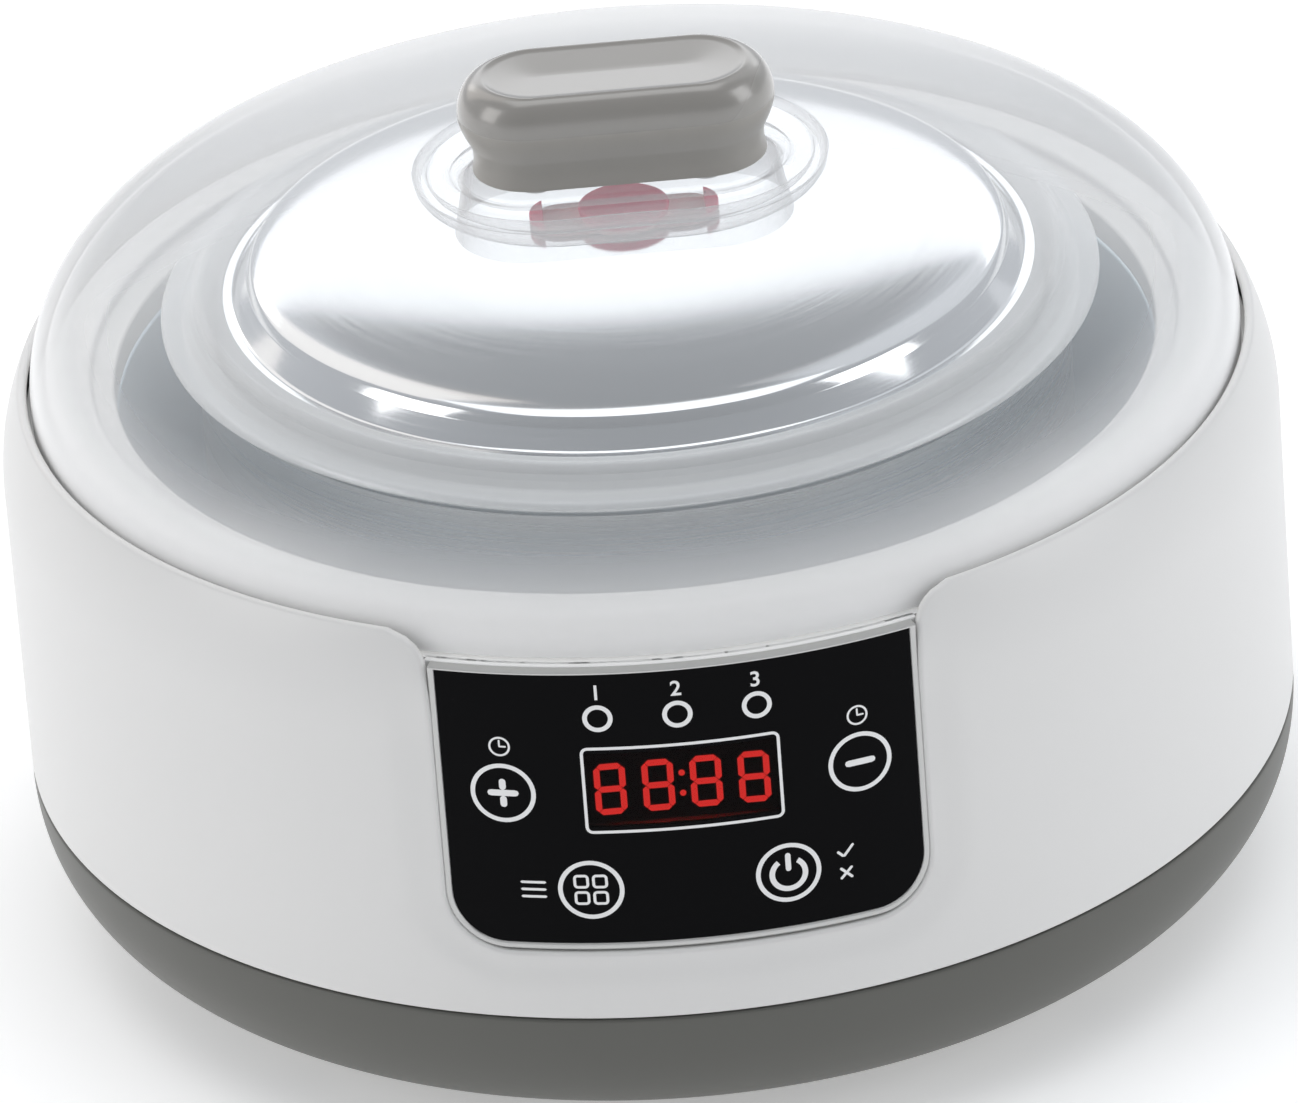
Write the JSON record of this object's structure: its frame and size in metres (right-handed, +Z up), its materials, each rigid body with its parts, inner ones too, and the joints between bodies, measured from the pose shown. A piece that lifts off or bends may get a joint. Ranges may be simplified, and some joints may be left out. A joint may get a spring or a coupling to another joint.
{
  "type": "yogurt maker",
  "caption": "Round electric yogurt maker with a curved control panel, lidded steel pot in a heating bowl, and a frosted outer lid with a grip.",
  "frame": {"origin": "on the floor under the middle of the round body", "axes": "+Z up along the body's axis, -Y towards the control panel, +X to the right of someone facing the panel"},
  "size_m": [0.21, 0.21, 0.1461],
  "materials": {
    "base_grey": "fine satin moulding",
    "shell_white": "satin white moulding",
    "bowl_metal": "spun, brushed round",
    "dome_steel": "bright stainless steel",
    "pot_steel": "satin stainless steel",
    "pot_lid_milk": "milky, smooth",
    "rose_silicone": "soft silicone",
    "clear_silicone": "soft silicone",
    "lid_frosted": "frosted, see-through",
    "grip_grey": "satin moulding",
    "grip_cap": "satin moulding",
    "frame_silver": "satin silver",
    "panel_black": "glossy black sheet",
    "window_tint": "dark tinted window",
    "inner_plastic": "plain moulding",
    "key_plastic": "plain moulding",
    "board_green": "circuit board",
    "board_brown": "circuit board",
    "switch_black": "plain moulding",
    "digit_red": "lit segments",
    "lamp_lens": "clear lens",
    "heater_foil": "silicone heating mat",
    "sensor_brass": "plain metal",
    "fuse_white": "ceramic tube",
    "screw_steel": "zinc plated",
    "relay_blue": "plain case",
    "capacitor_yellow": "plain case",
    "capacitor_blue": "plain sleeve",
    "lead_grey": "wire sleeve",
    "lead_red": "wire sleeve",
    "foot_rubber": "soft rubber"
  },
  "bodies": {
    "body": {"base_cover": "base_grey", "outer_shell": "shell_white", "upper_deck": "shell_white", "heating_bowl": "bowl_metal", "bowl_gasket": "clear_silicone", "rubber_feet": "foot_rubber", "casing_screws": "screw_steel", "bowl_screws": "screw_steel", "panel_frame": "frame_silver", "panel_overlay": "panel_black", "display_window": "window_tint", "panel_carrier": "inner_plastic", "control_board": "board_green", "key_switches": "switch_black", "display_module": "switch_black", "display_digits": "digit_red", "program_lamps": "lamp_lens", "buzzer": "switch_black", "board_screws": "screw_steel", "heater_pad": "heater_foil", "temperature_sensor": "sensor_brass", "sensor_bracket": "screw_steel", "thermal_fuse": "fuse_white", "fuse_clip": "screw_steel", "power_board": "board_brown", "relay": "relay_blue", "film_capacitor": "capacitor_yellow", "supply_capacitor": "capacitor_blue", "inlet_socket": "switch_black", "inlet_pins": "sensor_brass", "mains_leads": "lead_grey", "heater_leads": "lead_red", "panel_cable": "lead_grey"},
    "pot": {"inner_pot": "pot_steel"},
    "pot_lid": {"pot_lid": "pot_lid_milk", "pot_lid_dome": "dome_steel", "pot_lid_seal": "clear_silicone"},
    "vent_plug": {"vent_plug": "rose_silicone"},
    "outer_lid": {"outer_lid": "lid_frosted", "lid_handle": "grip_grey", "handle_cap": "grip_cap", "handle_screws": "screw_steel"},
    "time_up_key": {"time_up_key": "key_plastic"},
    "time_down_key": {"time_down_key": "key_plastic"},
    "function_key": {"function_key": "key_plastic"},
    "power_key": {"power_key": "key_plastic"}
  },
  "joints": [
    {"name": "pot_lift", "type": "slide", "parent": "body", "child": "pot", "axis": [0, 0, 1], "range_m": [0, 0.1]},
    {"name": "pot_lid_lift", "type": "slide", "parent": "pot", "child": "pot_lid", "axis": [0, 0, 1], "range_m": [0, 0.04]},
    {"name": "vent_plug_pull", "type": "slide", "parent": "pot_lid", "child": "vent_plug", "axis": [0, 0, 1], "range_m": [0, 0.012]},
    {"name": "outer_lid_lift", "type": "slide", "parent": "vent_plug", "child": "outer_lid", "axis": [0, 0, 1], "range_m": [0, 0.07]},
    {"name": "time_up_key_press", "type": "slide", "parent": "body", "child": "time_up_key", "axis": [0, 1, 0], "range_m": [0, 0.00025], "stiffness_N_per_m": 2000},
    {"name": "time_down_key_press", "type": "slide", "parent": "body", "child": "time_down_key", "axis": [0, 1, 0], "range_m": [0, 0.00025], "stiffness_N_per_m": 2000},
    {"name": "function_key_press", "type": "slide", "parent": "body", "child": "function_key", "axis": [0, 1, 0], "range_m": [0, 0.00025], "stiffness_N_per_m": 2000},
    {"name": "power_key_press", "type": "slide", "parent": "body", "child": "power_key", "axis": [0, 1, 0], "range_m": [0, 0.00025], "stiffness_N_per_m": 2000}
  ]
}
